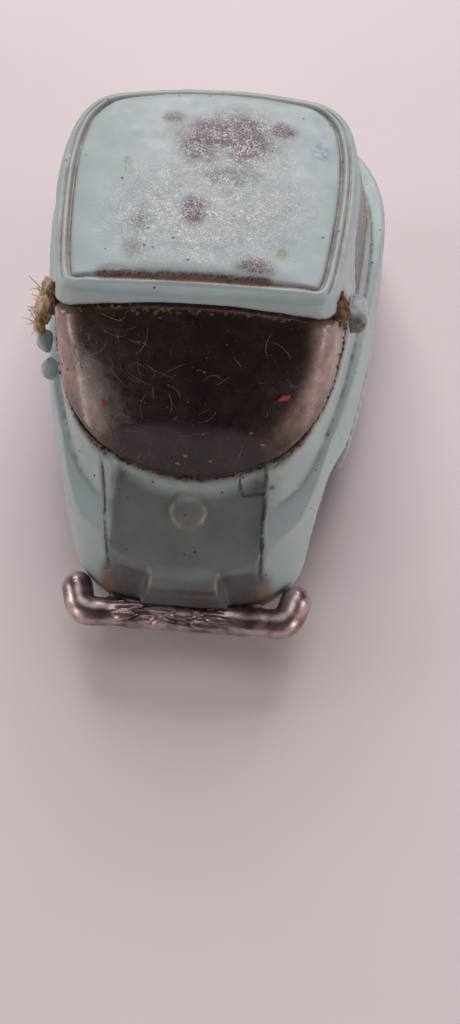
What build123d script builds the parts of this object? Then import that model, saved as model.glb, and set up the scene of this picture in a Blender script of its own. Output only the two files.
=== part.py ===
from build123d import *
import math
import os

# A small pull back toy car, in millimetres. +Z is up, the nose points to -Y, and the
# origin is on the ground under the middle of the car.

# ---- Overall sizes -----------------------------------------------------------------------
WALL = 1.0                     # moulded body wall
FIT = 0.12                     # gap between pieces that drop into each other
RUN = 0.05                     # radial running clearance of an axle in its bearing
BODY_FOOT = 2.6                # lowest edge of the body shell
LENGTH = 46.0                  # over both bumpers

# ---- Wheels and axles --------------------------------------------------------------------
FRONT_Y = -12.0
REAR_Y = 12.0
FRONT_RADIUS = 4.4
REAR_RADIUS = 5.3
FRONT_FACE = 9.0               # outer face of a front tyre
REAR_FACE = 13.2               # outer face of a rear tyre
FRONT_WIDTH = 3.2
REAR_WIDTH = 4.2
AXLE_RADIUS = 0.75
FRONT_AXLE_HALF = 8.4
REAR_AXLE_HALF = 12.5
ARCH_GAP = 0.9                 # wheel arch radius beyond the tyre

# ---- Motor -------------------------------------------------------------------------------
MODULE = 0.32
PINION_TEETH = 10
GEAR_TEETH = 24
ADDENDUM = 0.85 * MODULE
DEDENDUM = 1.2 * MODULE
TOOTH_SHARE = 0.42             # tooth thickness as a share of the pitch
PRESSURE_ANGLE = math.radians(20)
GEAR_DEPTH = 1.2
CENTRE_DISTANCE = MODULE * (PINION_TEETH + GEAR_TEETH) / 2
IDLER_Z = 8.0
IDLER_Y = REAR_Y - math.sqrt(CENTRE_DISTANCE**2 - (IDLER_Z - REAR_RADIUS)**2)
DRUM_Y = IDLER_Y - CENTRE_DISTANCE
DRUM_Z = IDLER_Z
AXLE_LAYER = -2.6              # x of the pinion on the axle and the idler's large gear
DRUM_LAYER = 0.4               # x of the idler's pinion and the drum's gear
ARBOR_RADIUS = 0.6
DRUM_RADIUS = 3.3
DRUM_WALL = 0.35
DRUM_DEPTH = 3.2
SPRING_TURNS = 5
SPRING_INNER = 0.95            # radius of the spring's first turn
SPRING_PITCH = 0.34            # growth of the radius in one turn
SPRING_STRIP = 0.14            # thickness of the strip
TURN_STEPS = 16                # points of the strip in one turn
CASE_HALF = 4.6
CASE_WALL = 0.7
CASE_LOW = 2.55
CASE_HIGH = 13.0
CASE_REAR = 14.9
CASE_FRONT = -3.4

# ---- Body outlines -----------------------------------------------------------------------
# Each ring is one level of the body, seen from above: height, nose middle y, nose corner,
# side stations from front to rear, tail corner and tail middle y.
LOWER_RINGS = [
    (BODY_FOOT, -20.6, (5.6, -19.8),
     [(7.4, -18.6), (10.1, -12.5), (12.2, -4.5), (13.4, 3.5), (14.0, 11.5), (13.1, 17.5)],
     (10.8, 20.3), 21.3),
    (6.0, -21.2, (5.9, -20.1),
     [(7.7, -18.9), (10.5, -12.5), (12.6, -4.5), (13.9, 3.5), (14.6, 11.5), (13.9, 18.0)],
     (11.4, 21.2), 22.1),
    (9.0, -19.9, (5.9, -18.7),
     [(7.5, -17.9), (10.3, -12.5), (12.4, -4.5), (13.6, 3.5), (14.5, 11.5), (13.7, 17.8)],
     (11.2, 20.9), 21.8),
    (12.7, -18.6, (5.5, -17.6),
     [(6.8, -16.6), (9.3, -12.0), (11.8, -4.0), (13.2, 4.0), (13.9, 11.0), (12.9, 16.8)],
     (10.6, 20.0), 21.0),
]
CABIN_RINGS = [
    (9.5, -18.0, (5.2, -17.2),
     [(6.8, -16.2), (9.3, -12.0), (11.7, -4.0), (12.9, 4.0), (13.3, 10.5), (12.4, 15.6)],
     (10.0, 18.6), 19.5),
    (15.0, -12.2, (7.3, -11.4),
     [(8.6, -10.5), (10.0, -7.6), (11.2, -2.0), (12.1, 4.5), (12.3, 10.0), (11.4, 14.4)],
     (8.9, 17.2), 18.0),
    (22.5, -6.75, (8.4, -6.55),
     [(9.2, -6.0), (9.8, -4.2), (10.4, -0.5), (10.9, 4.3), (10.7, 8.0), (9.8, 11.0)],
     (7.6, 12.8), 13.6),
]
# Profile of the wing tops from the side: the crease falls towards the nose.
WING_TOP = [(-21.0, 8.5), (-17.4, 10.5), (-10.0, 12.0), (0.0, 12.5), (22.0, 12.5)]

# ---- Roof --------------------------------------------------------------------------------
ROOF_EDGE_Z = 22.5
ROOF_STEPS = [(0.0, 1.1), (0.9, 0.4), (1.7, 0.5)]   # inset and height of each rim step
ROOF_TOP = 25.0

# ---- Side vents and mirrors ----------------------------------------------------------------
VENT_COUNT = 8
VENT_START = (13.35, -0.4)     # x, y of the rearmost vent slot
VENT_END = (12.2, -8.4)
VENT_Z = 7.4
VENT_SIZE = (1.0, 0.5, 2.4)
VENT_TILT = 25
MIRROR_Y = -1.4
MIRROR_Z = 16.6
MIRROR_X = 11.2
MIRROR_SIZE = (1.9, 2.8, 1.8)
MIRROR_PEG = 0.5
MIRROR_PEG_DROP = (-0.4, -0.3)  # y, z from the middle of the mirror to its peg

# ---- Chassis, bumpers, interior ------------------------------------------------------------
CHASSIS_LOW = 2.4
CHASSIS_HIGH = 3.5
NOTCH_GAP = 0.7                # from a tyre's inner face to the chassis plate
NOTCH_DEPTH = 13.4
FRONT_BOSS_Y = -15.8
REAR_BOSS_Y = 17.7
BOSS_RADIUS = 1.6
SCREW_RADIUS = 0.6
SCREW_HEAD_RADIUS = 1.2
SCREW_HEAD_DEPTH = 0.6
SCREW_LENGTH = 4.6
BLOCK_X = 4.0                  # middle of a front axle bearing block
BUMPER_Z = 4.6
BUMPER_RADIUS = 1.2            # half height of the bumper bar
BUMPER_DEPTH = 1.1             # half depth of the bumper bar
WEB_SIZE = (0.9, 0.8)
TAB_X = 3.6
TAB_SIZE = (1.4, 3.2, 0.9)
TUB_LOW = 13.2
TUB_FLOOR = 0.8
TUB_FRONT = -9.6
TUB_REAR = 13.0
SEATS = [(4.8, 3.6, 0.8, 4.0), (4.8, -3.6, 0.8, 4.0), (12.6, 0.0, 8.6, 3.6)]   # width, x, y, height
CUSHION_LENGTH = 4.4
CUSHION_HEIGHT = 1.4
BACKREST_DEPTH = 1.2
DASH_Y = -7.6
DASH_WIDTH = 13.0
DASH_HEIGHT = 1.6

# ---- Bonnet ------------------------------------------------------------------------------
BONNET_HALF = 5.8
BONNET_REAR = (-13.4, 11.4)    # y, z at the foot of the windscreen
BONNET_FRONT = (-20.4, 8.6)
EMBLEM_RADIUS = 1.2
PLATE_LOW = 5.7                # number plate block, from foot to top and back to front
PLATE_HIGH = 8.9
PLATE_BACK = -19.0
PLATE_FRONT = -21.5
PLATE_HALVES = (2.4, 3.4)      # half widths of the number plate block, top and bottom

# ---- Windows -----------------------------------------------------------------------------
SCREEN_HALF = 10.6
SCREEN_TOP = 12.4              # length of the windscreen opening along its slope
SCREEN_LEAN = 0.6              # how far each side of the opening leans in at its top
SCREEN_DEPTH = 6.5             # how far back the opening wraps round the corners
SCREEN_CAMBER = 1.0            # rise of the header in the middle
SCREEN_SLOPE = (0, -0.874, 0.486)
GLASS_RECESS = 0.45
GLASS_WALL = 0.7
SCREEN_THICKNESS = 1.4
GLASS_LOW = 14.2
GLASS_HIGH = 22.3
SIDE_WINDOW = [(0.4, 15.0), (1.4, 21.2), (10.4, 21.2), (13.0, 15.0)]
REAR_WINDOW = (13.5, 4.6, 18.2)   # width, height, centre height


def plan_ring(ring, inset):
    """Points of one body level, moved inwards by inset."""
    height, nose, corner, sides, tail_corner, tail = ring
    start = (corner[0] - inset * 0.7, corner[1] + inset * 0.9)
    stations = [(x - inset, y) for x, y in sides]
    end = (tail_corner[0] - inset * 0.8, tail_corner[1] - inset * 0.9)
    return height, nose + inset, [start, *stations, end], tail - inset


def body_level(ring, inset):
    """Closed face of one body level: nose arc, two side curves and tail arc."""
    height, nose, side, tail = plan_ring(ring, inset)
    other_side = [(-x, y) for x, y in side]
    with BuildSketch(Plane.XY.offset(height)) as level:
        with BuildLine():
            ThreePointArc(other_side[0], (0, nose), side[0])
            Spline(side)
            ThreePointArc(side[-1], (0, tail), other_side[-1])
            Spline(other_side[::-1])
        make_face()
    return level.sketch


def lofted(rings, inset=0.0, low=None, high=None):
    """Solid through body levels. The end levels can be moved to new heights."""
    levels = [list(ring) for ring in rings]
    if low is not None:
        levels[0][0] = low
    if high is not None:
        levels[-1][0] = high
    faces = [body_level(ring, inset) for ring in levels]
    with BuildPart() as solid:
        loft(faces)
    return solid.part


def side_slab(points, half_width):
    """Side profile in the YZ plane, extruded to both sides of the car."""
    with BuildPart() as slab:
        with BuildSketch(Plane.YZ):
            with BuildLine():
                Polyline(*points, close=True)
            make_face()
        extrude(amount=half_width, both=True)
    return slab.part


screen_plane = Plane(origin=(0, *BONNET_REAR), x_dir=(1, 0, 0), z_dir=SCREEN_SLOPE)


def screen_prism(margin, inward, outward):
    """Windscreen outline, square to the glass: a half round foot under a straight top."""
    half = SCREEN_HALF - margin
    with BuildPart() as prism:
        with BuildSketch(screen_plane.offset(-inward)):
            with BuildLine():
                ThreePointArc((-half, SCREEN_HALF), (0, margin), (half, SCREEN_HALF))
                Line((half, SCREEN_HALF), (half - SCREEN_LEAN, SCREEN_TOP - margin))
                ThreePointArc((half - SCREEN_LEAN, SCREEN_TOP - margin),
                              (0, SCREEN_TOP + SCREEN_CAMBER - margin),
                              (SCREEN_LEAN - half, SCREEN_TOP - margin))
                Line((SCREEN_LEAN - half, SCREEN_TOP - margin), (-half, SCREEN_HALF))
            make_face()
        extrude(amount=inward + outward)
    return prism.part


def side_window_prism(margin):
    """Side window outline, right through the cabin."""
    with BuildPart() as prism:
        with BuildSketch(Plane.YZ):
            with BuildLine():
                Polyline(*SIDE_WINDOW, close=True)
            make_face()
            fillet(vertices(), 1.4)
            if margin:
                offset(amount=-margin)
        extrude(amount=16, both=True)
    return prism.part


def rear_window_prism(margin):
    """Rear window outline, through the tail of the cabin."""
    width, height, middle = REAR_WINDOW
    with BuildPart() as prism:
        with BuildSketch(Plane.XZ.offset(-9)):
            with Locations((0, middle)):
                RectangleRounded(width - 2 * margin, height - 2 * margin, 1.6)
        extrude(amount=-14)
    return prism.part


def cross_cylinder(y, z, radius, half_length):
    """Cylinder across the car."""
    with BuildPart() as cylinder:
        with BuildSketch(Plane.YZ):
            with Locations((y, z)):
                Circle(radius)
        extrude(amount=half_length, both=True)
    return cylinder.part


def save(part, name):
    """Label one piece and write its STEP file."""
    part.label = name
    export_step(part, f"parts/{name}.step")


os.makedirs("parts", exist_ok=True)

# ---- Shared volumes ----------------------------------------------------------------------
wing_profile = side_slab([(-25, 0), (-25, 8.2), *WING_TOP, (25, 12.5), (25, 0)], 20)
inner_wing_profile = side_slab(
    [(-25, 0), (-25, 7.2), *[(y, z - WALL) for y, z in WING_TOP], (25, 12.5 - WALL), (25, 0)], 20)
bonnet_channel = side_slab(
    [BONNET_FRONT, BONNET_REAR, (BONNET_REAR[0] + 3.4, 17.5), (-25, 17.5), (-25, 6.8)],
    BONNET_HALF)
bonnet_lining = side_slab(
    [(BONNET_FRONT[0], BONNET_FRONT[1] - WALL), (BONNET_REAR[0], BONNET_REAR[1] - WALL),
     (BONNET_REAR[0] + 4.0, 17.5), (-25, 17.5), (-25, 6.0)],
    BONNET_HALF + WALL)
lower_outer = lofted(LOWER_RINGS)
lower_inner = lofted(LOWER_RINGS, WALL, low=BODY_FOOT - 0.5)
cabin_outer = lofted(CABIN_RINGS)
cabin_inner = lofted(CABIN_RINGS, WALL, low=8.6)
glass_face = lofted(CABIN_RINGS, GLASS_RECESS)
glass_seat = lofted(CABIN_RINGS, WALL + FIT)
glass_back = lofted(CABIN_RINGS, WALL + FIT + GLASS_WALL)
arches = [
    cross_cylinder(FRONT_Y, FRONT_RADIUS, FRONT_RADIUS + ARCH_GAP, 20),
    cross_cylinder(REAR_Y, REAR_RADIUS, REAR_RADIUS + ARCH_GAP, 20),
]

# ---- Roof: rim steps that follow the cabin's top level, and a cambered panel ---------------
with BuildPart() as roof:
    step_low = ROOF_EDGE_Z
    for step_inset, step_height in ROOF_STEPS:
        with BuildSketch(Plane.XY.offset(step_low)):
            add(body_level((0, *CABIN_RINGS[-1][1:]), step_inset))
        extrude(amount=step_height)
        step_low += step_height
with BuildPart() as roof_camber:
    with BuildSketch(Plane.XZ.offset(-20)):
        with BuildLine():
            ThreePointArc((-12, ROOF_EDGE_Z + 0.6), (0, ROOF_TOP - 0.4), (12, ROOF_EDGE_Z + 0.6))
            Polyline((12, ROOF_EDGE_Z + 0.6), (12, 20), (-12, 20), (-12, ROOF_EDGE_Z + 0.6))
        make_face()
    extrude(amount=40)
with BuildPart() as roof_cap:
    add(roof.part)
    add(roof_camber.part, mode=Mode.INTERSECT)

# ---- Body shell --------------------------------------------------------------------------
with BuildPart() as cavity:
    add(lower_inner)
    add(inner_wing_profile, mode=Mode.INTERSECT)
    add(cabin_inner)
    add(bonnet_lining, mode=Mode.SUBTRACT)

with BuildPart() as outer_form:
    add(lower_outer)
    add(wing_profile, mode=Mode.INTERSECT)
    add(cabin_outer)
    add(roof_cap.part)
    add(bonnet_channel, mode=Mode.SUBTRACT)

# Screw bosses run up from the chassis to the underside of the bonnet and the tail.
with BuildPart() as bosses:
    with BuildSketch(Plane.XY.offset(CHASSIS_HIGH)):
        with Locations((0, FRONT_BOSS_Y), (0, REAR_BOSS_Y)):
            Circle(BOSS_RADIUS)
    extrude(amount=8)
    add(outer_form.part, mode=Mode.INTERSECT)

# The number plate block and the round bonnet emblem stand proud of the nose.
with BuildPart() as plate_block:
    with BuildSketch(Plane.XZ.offset(-PLATE_BACK)):
        Polygon((-PLATE_HALVES[1], PLATE_LOW), (PLATE_HALVES[1], PLATE_LOW),
                (PLATE_HALVES[0], PLATE_HIGH), (-PLATE_HALVES[0], PLATE_HIGH), align=None)
    extrude(amount=PLATE_BACK - PLATE_FRONT)
    front_edges = faces().sort_by(Axis.Y)[0].edges()
    chamfer(front_edges.sort_by(Axis.Z)[-1], 0.8)
emblem_plane = Plane(
    origin=(0, -15.8, 10.42), x_dir=(1, 0, 0),
    z_dir=(0, BONNET_FRONT[1] - BONNET_REAR[1], BONNET_REAR[0] - BONNET_FRONT[0]))
with BuildPart() as emblem:
    with BuildSketch(emblem_plane):
        Circle(EMBLEM_RADIUS)
    extrude(amount=0.35)
    with BuildSketch(emblem_plane.offset(0.35)):
        Circle(EMBLEM_RADIUS - 0.3)
    extrude(amount=-0.15, mode=Mode.SUBTRACT)

vent_places = []
for vent in range(VENT_COUNT):
    share = vent / (VENT_COUNT - 1)
    vent_x = VENT_START[0] + share * (VENT_END[0] - VENT_START[0])
    vent_y = VENT_START[1] + share * (VENT_END[1] - VENT_START[1])
    vent_places.append(Location((vent_x, vent_y, VENT_Z), (VENT_TILT, 0, 0)))
    vent_places.append(Location((-vent_x, vent_y, VENT_Z), (VENT_TILT, 0, 0)))

with BuildPart() as body_shell:
    add(outer_form.part)
    add(cavity.part, mode=Mode.SUBTRACT)
    add(screen_prism(0, SCREEN_DEPTH, 9.0), mode=Mode.SUBTRACT)
    add(side_window_prism(0), mode=Mode.SUBTRACT)
    add(rear_window_prism(0), mode=Mode.SUBTRACT)
    for arch in arches:
        add(arch, mode=Mode.SUBTRACT)
    add(bosses.part)
    add(plate_block.part)
    add(emblem.part)
    with Locations(*vent_places):
        Box(*VENT_SIZE, mode=Mode.SUBTRACT)
    with BuildSketch(Plane.XY.offset(CHASSIS_HIGH)):
        with Locations((0, FRONT_BOSS_Y), (0, REAR_BOSS_Y)):
            Circle(SCREW_RADIUS)
    extrude(amount=SCREW_LENGTH - 0.3, mode=Mode.SUBTRACT)
    # Slots that the bumper tabs pass through, front and rear.
    with Locations(*[(x, y, CHASSIS_HIGH + TAB_SIZE[2] / 2)
                     for x in (-TAB_X, TAB_X) for y in (-20.2, 20.9)]):
        Box(TAB_SIZE[0] + 2 * FIT, 3.4, TAB_SIZE[2] + 2 * FIT, mode=Mode.SUBTRACT)
    # Peg holes for the mirrors.
    with BuildSketch(Plane.YZ):
        with Locations((MIRROR_Y + MIRROR_PEG_DROP[0], MIRROR_Z + MIRROR_PEG_DROP[1])):
            Circle(MIRROR_PEG + 0.02)
    extrude(amount=15, both=True, mode=Mode.SUBTRACT)
save(body_shell.part, "body_shell")

# ---- Glazing: one smoked clear moulding with a pad in each opening -------------------------
with BuildPart() as glass_shell:
    add(glass_seat)
    with Locations((0, 0, (GLASS_LOW + GLASS_HIGH) / 2)):
        Box(40, 60, GLASS_HIGH - GLASS_LOW, mode=Mode.INTERSECT)
with BuildPart() as window_pads:
    add(side_window_prism(FIT))
    add(rear_window_prism(FIT))
    add(glass_face, mode=Mode.INTERSECT)
with BuildPart() as screen_hollow:
    add(glass_back)
    with BuildSketch(screen_plane.offset(-SCREEN_THICKNESS)):
        Rectangle(60, 60)
    extrude(amount=40, mode=Mode.SUBTRACT)
with BuildPart() as screen_pad:
    add(screen_prism(FIT, SCREEN_DEPTH, 0))
    add(glass_face, mode=Mode.INTERSECT)
    add(screen_hollow.part, mode=Mode.SUBTRACT)
with BuildPart() as glazing:
    add(glass_shell.part)
    add(window_pads.part)
    add(glass_back, mode=Mode.SUBTRACT)
    add(screen_pad.part)
save(glazing.part, "glazing")

# ---- Interior tub: floor, dashboard, two seats and a rear bench ---------------------------
with BuildPart() as interior_tub:
    add(lofted(CABIN_RINGS, WALL + FIT + GLASS_WALL + 0.3))
    with Locations((0, (TUB_FRONT + TUB_REAR) / 2, TUB_LOW + TUB_FLOOR / 2)):
        Box(30, TUB_REAR - TUB_FRONT, TUB_FLOOR, mode=Mode.INTERSECT)
    seat_base = TUB_LOW + TUB_FLOOR
    for width, middle_x, seat_y, back_height in SEATS:
        with Locations((middle_x, seat_y, seat_base + CUSHION_HEIGHT / 2)):
            Box(width, CUSHION_LENGTH, CUSHION_HEIGHT)
        with Locations((middle_x, seat_y + CUSHION_LENGTH / 2, seat_base + back_height / 2)):
            Box(width, BACKREST_DEPTH, back_height)
    with Locations((0, DASH_Y, seat_base + DASH_HEIGHT / 2)):
        Box(DASH_WIDTH, 2.0, DASH_HEIGHT)
save(interior_tub.part, "interior_tub")

with BuildPart() as steering_wheel:
    wheel_plane = Plane(origin=(SEATS[0][1], DASH_Y + 1.7, seat_base + 1.5), x_dir=(1, 0, 0),
                        z_dir=(0, 0.9, 0.43))
    with BuildSketch(wheel_plane):
        Circle(1.5)
        Circle(1.1, mode=Mode.SUBTRACT)
        Rectangle(2.4, 0.4)
    extrude(amount=0.3)
    with BuildSketch(wheel_plane):
        Circle(0.3)
    extrude(amount=-0.55)
save(steering_wheel.part, "steering_wheel")

# ---- Mirrors: a stub on a peg, one each side -----------------------------------------------
for side_name, side in (("left", 1), ("right", -1)):
    with BuildPart() as mirror:
        with Locations((side * MIRROR_X, MIRROR_Y, MIRROR_Z)):
            Box(*MIRROR_SIZE)
        fillet(edges().filter_by(Axis.X), 0.6)
        fillet(faces().sort_by(Axis.X)[-1 if side > 0 else 0].edges(), 0.4)
        add(cabin_outer, mode=Mode.SUBTRACT)
        add(lower_outer, mode=Mode.SUBTRACT)
        with BuildSketch(Plane.YZ.offset(side * MIRROR_X)):
            with Locations((MIRROR_Y + MIRROR_PEG_DROP[0], MIRROR_Z + MIRROR_PEG_DROP[1])):
                Circle(MIRROR_PEG)
        extrude(amount=-side * 1.0)
    save(mirror.part, f"mirror_{side_name}")

# ---- Chassis plate -------------------------------------------------------------------------
with BuildPart() as chassis:
    add(lofted(LOWER_RINGS, WALL + FIT, low=CHASSIS_LOW - 0.1))
    with Locations((0, 0, (CHASSIS_LOW + CHASSIS_HIGH) / 2)):
        Box(40, 60, CHASSIS_HIGH - CHASSIS_LOW, mode=Mode.INTERSECT)
    # Bearing blocks of the front axle.
    with Locations((-BLOCK_X, FRONT_Y, 5.0), (BLOCK_X, FRONT_Y, 5.0)):
        Box(1.6, 3.2, 3.2)
    # Rails beside the motor.
    rail_x = CASE_HALF + FIT + 0.45
    with Locations((-rail_x, 4.5, CHASSIS_HIGH + 0.6), (rail_x, 4.5, CHASSIS_HIGH + 0.6)):
        Box(0.8, 8.0, 1.4)
    # Wheel notches and the motor bay.
    notch_front = FRONT_FACE - FRONT_WIDTH - NOTCH_GAP + NOTCH_DEPTH / 2
    notch_rear = REAR_FACE - REAR_WIDTH - NOTCH_GAP + NOTCH_DEPTH / 2
    with Locations((-notch_front, FRONT_Y, 3), (notch_front, FRONT_Y, 3)):
        Box(NOTCH_DEPTH, 2 * (FRONT_RADIUS + ARCH_GAP), 4, mode=Mode.SUBTRACT)
    with Locations((-notch_rear, REAR_Y, 3), (notch_rear, REAR_Y, 3)):
        Box(NOTCH_DEPTH, 2 * (REAR_RADIUS + ARCH_GAP), 4, mode=Mode.SUBTRACT)
    with Locations((0, (CASE_FRONT + CASE_REAR) / 2, CHASSIS_LOW)):
        Box(2 * (CASE_HALF + FIT), CASE_REAR - CASE_FRONT + 2 * FIT, 4, mode=Mode.SUBTRACT)
    # Screw holes with sunk heads.
    with Locations((0, FRONT_BOSS_Y, CHASSIS_LOW), (0, REAR_BOSS_Y, CHASSIS_LOW)):
        Cylinder(SCREW_HEAD_RADIUS + FIT, 2 * SCREW_HEAD_DEPTH, mode=Mode.SUBTRACT)
        Cylinder(SCREW_RADIUS + FIT, 8, mode=Mode.SUBTRACT)
    add(cross_cylinder(FRONT_Y, FRONT_RADIUS, AXLE_RADIUS + RUN, 12), mode=Mode.SUBTRACT)
save(chassis.part, "chassis")

with BuildPart() as chassis_screws:
    with Locations((0, FRONT_BOSS_Y, CHASSIS_LOW), (0, REAR_BOSS_Y, CHASSIS_LOW)):
        Cylinder(SCREW_HEAD_RADIUS, SCREW_HEAD_DEPTH, align=(Align.CENTER, Align.CENTER, Align.MIN))
        Cylinder(SCREW_RADIUS, SCREW_LENGTH, align=(Align.CENTER, Align.CENTER, Align.MIN))
        Box(2 * SCREW_HEAD_RADIUS - 0.5, 0.35, 0.5, mode=Mode.SUBTRACT)
save(chassis_screws.part, "chassis_screws")


# ---- Bumpers: a bulbous bar with turned back ends, a web and two tabs ----------------------
def bumper(name, end, half_width, bar_y, wrap_y):
    """One bumper. end is -1 at the nose and +1 at the tail."""
    with BuildPart() as bar:
        with BuildLine() as path:
            FilletPolyline(
                (-half_width, wrap_y, BUMPER_Z), (-half_width + 0.6, bar_y, BUMPER_Z),
                (half_width - 0.6, bar_y, BUMPER_Z), (half_width, wrap_y, BUMPER_Z),
                radius=1.3)
        start_tangent = path.line % 0
        with BuildSketch(Plane(origin=path.line @ 0, z_dir=start_tangent, x_dir=(0, 0, 1))):
            Ellipse(BUMPER_RADIUS, BUMPER_DEPTH)
        sweep()
        for tip in (-half_width, half_width):
            with Locations((tip, wrap_y, BUMPER_Z)):
                Sphere(BUMPER_DEPTH)
        # Web between the bar and the body, and tabs that lie on the chassis.
        with Locations((0, bar_y - end * 0.9, BUMPER_Z + 0.2)):
            Box(2 * half_width - 5.0, WEB_SIZE[0], WEB_SIZE[1])
        for tab in (-TAB_X, TAB_X):
            with Locations((tab, bar_y - end * (TAB_SIZE[1] / 2 + 0.3),
                            CHASSIS_HIGH + TAB_SIZE[2] / 2)):
                Box(*TAB_SIZE)
        add(outer_form.part, mode=Mode.SUBTRACT)
        add(plate_block.part, mode=Mode.SUBTRACT)
        for tab in (-TAB_X, TAB_X):
            with Locations((tab, bar_y - end * (TAB_SIZE[1] / 2 + 0.3),
                            CHASSIS_HIGH + TAB_SIZE[2] / 2)):
                Box(*TAB_SIZE)
    save(bar.part, name)


bumper("front_bumper", -1, 8.4, -LENGTH / 2 + BUMPER_DEPTH, -20.05)
bumper("rear_bumper", 1, 12.6, LENGTH / 2 - BUMPER_DEPTH, 20.0)


# ---- Wheels --------------------------------------------------------------------------------
def wheel(end_name, side_name, side, axle_y, radius, face, width, hub_radius):
    """Hub and tyre of one wheel, turned about its axle."""
    across = Plane(origin=(0, axle_y, radius), x_dir=(1, 0, 0), z_dir=(0, -1, 0))
    spin = Axis((0, axle_y, radius), (1, 0, 0))
    middle = side * (face - width / 2)
    with BuildPart() as tyre:
        with BuildSketch(across):
            with Locations((middle, (radius + hub_radius) / 2)):
                Rectangle(width, radius - hub_radius)
            fillet(vertices().group_by(Axis.Z)[-1], 0.55)
            with Locations((middle - width * 0.17, radius), (middle + width * 0.17, radius)):
                Rectangle(0.3, 0.6, mode=Mode.SUBTRACT)
        revolve(axis=spin)
    save(tyre.part, f"{end_name}_tyre_{side_name}")
    with BuildPart() as hub:
        with BuildSketch(across):
            with Locations((middle, (AXLE_RADIUS + hub_radius) / 2)):
                Rectangle(width - 0.2, hub_radius - AXLE_RADIUS)
            with Locations((side * face, (AXLE_RADIUS + 0.7 + hub_radius - 0.5) / 2)):
                Rectangle(1.6, hub_radius - AXLE_RADIUS - 1.2, mode=Mode.SUBTRACT)
        revolve(axis=spin)
        with BuildSketch(Plane.YZ.offset(side * face)):
            with Locations((axle_y, radius)):
                with PolarLocations((AXLE_RADIUS + 0.2 + hub_radius) / 2, 6):
                    Circle(0.32)
        extrude(amount=-side * width * 0.6, mode=Mode.SUBTRACT)
    save(hub.part, f"{end_name}_hub_{side_name}")


for side_name, side in (("left", 1), ("right", -1)):
    wheel("front", side_name, side, FRONT_Y, FRONT_RADIUS, FRONT_FACE, FRONT_WIDTH, 2.7)
    wheel("rear", side_name, side, REAR_Y, REAR_RADIUS, REAR_FACE, REAR_WIDTH, 3.2)

save(cross_cylinder(FRONT_Y, FRONT_RADIUS, AXLE_RADIUS, FRONT_AXLE_HALF), "front_axle")
save(cross_cylinder(REAR_Y, REAR_RADIUS, AXLE_RADIUS, REAR_AXLE_HALF), "rear_axle")


# ---- Gears ---------------------------------------------------------------------------------
def involute(angle):
    """Involute function."""
    return math.tan(angle) - angle


def toothed(teeth, phase, y, z, x_low, depth, bore):
    """Spur gear with its first tooth centred on the phase angle, measured from +Y to +Z."""
    pitch_radius = MODULE * teeth / 2
    base_radius = pitch_radius * math.cos(PRESSURE_ANGLE)
    tip_radius = pitch_radius + ADDENDUM
    root_radius = pitch_radius - DEDENDUM
    flank = []
    for radius in (root_radius, base_radius, pitch_radius, (pitch_radius + tip_radius) / 2, tip_radius):
        contact = math.acos(min(1.0, base_radius / radius))
        half_angle = TOOTH_SHARE * math.pi / teeth + involute(PRESSURE_ANGLE) - involute(contact)
        flank.append((radius, half_angle))
    outline = []
    for tooth in range(teeth):
        centre = phase + tooth * 2 * math.pi / teeth
        corners = [(r, centre - a) for r, a in flank] + [(r, centre + a) for r, a in flank[::-1]]
        outline += [(y + r * math.cos(angle), z + r * math.sin(angle)) for r, angle in corners]
    with BuildPart() as gear:
        with BuildSketch(Plane.YZ.offset(x_low)):
            Polygon(*outline, align=None)
            with Locations((y, z)):
                Circle(bore, mode=Mode.SUBTRACT)
        extrude(amount=depth)
    return gear.part


def sleeve(y, z, outer, inner, x_low, depth):
    """Plain tube across the car."""
    with BuildPart() as tube:
        with BuildSketch(Plane.YZ.offset(x_low)):
            with Locations((y, z)):
                Circle(outer)
                Circle(inner, mode=Mode.SUBTRACT)
        extrude(amount=depth)
    return tube.part


to_idler = math.atan2(IDLER_Z - REAR_RADIUS, IDLER_Y - REAR_Y)
drive_pinion = toothed(PINION_TEETH, to_idler, REAR_Y, REAR_RADIUS, AXLE_LAYER - 0.1,
                       GEAR_DEPTH + 0.2, AXLE_RADIUS)
save(drive_pinion, "drive_pinion")

with BuildPart() as idler_gear:
    add(toothed(GEAR_TEETH, to_idler + math.pi + math.pi / GEAR_TEETH, IDLER_Y, IDLER_Z,
                AXLE_LAYER, GEAR_DEPTH, ARBOR_RADIUS + RUN))
    add(sleeve(IDLER_Y, IDLER_Z, 1.1, ARBOR_RADIUS + RUN, AXLE_LAYER + GEAR_DEPTH,
               DRUM_LAYER - AXLE_LAYER - GEAR_DEPTH))
    add(toothed(PINION_TEETH, math.pi, IDLER_Y, IDLER_Z, DRUM_LAYER - 0.1,
                GEAR_DEPTH + 0.2, ARBOR_RADIUS + RUN))
save(idler_gear.part, "idler_gear")

with BuildPart() as spring_drum:
    add(toothed(GEAR_TEETH, math.pi / GEAR_TEETH, DRUM_Y, DRUM_Z, DRUM_LAYER, GEAR_DEPTH,
                ARBOR_RADIUS + RUN))
    add(sleeve(DRUM_Y, DRUM_Z, DRUM_RADIUS, DRUM_RADIUS - DRUM_WALL, DRUM_LAYER + GEAR_DEPTH,
               DRUM_DEPTH - GEAR_DEPTH))
    add(sleeve(DRUM_Y, DRUM_Z, DRUM_RADIUS - DRUM_WALL, DRUM_RADIUS - 2 * DRUM_WALL,
               DRUM_LAYER + GEAR_DEPTH / 2, DRUM_DEPTH - GEAR_DEPTH / 2), mode=Mode.SUBTRACT)
save(spring_drum.part, "spring_drum")

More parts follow.
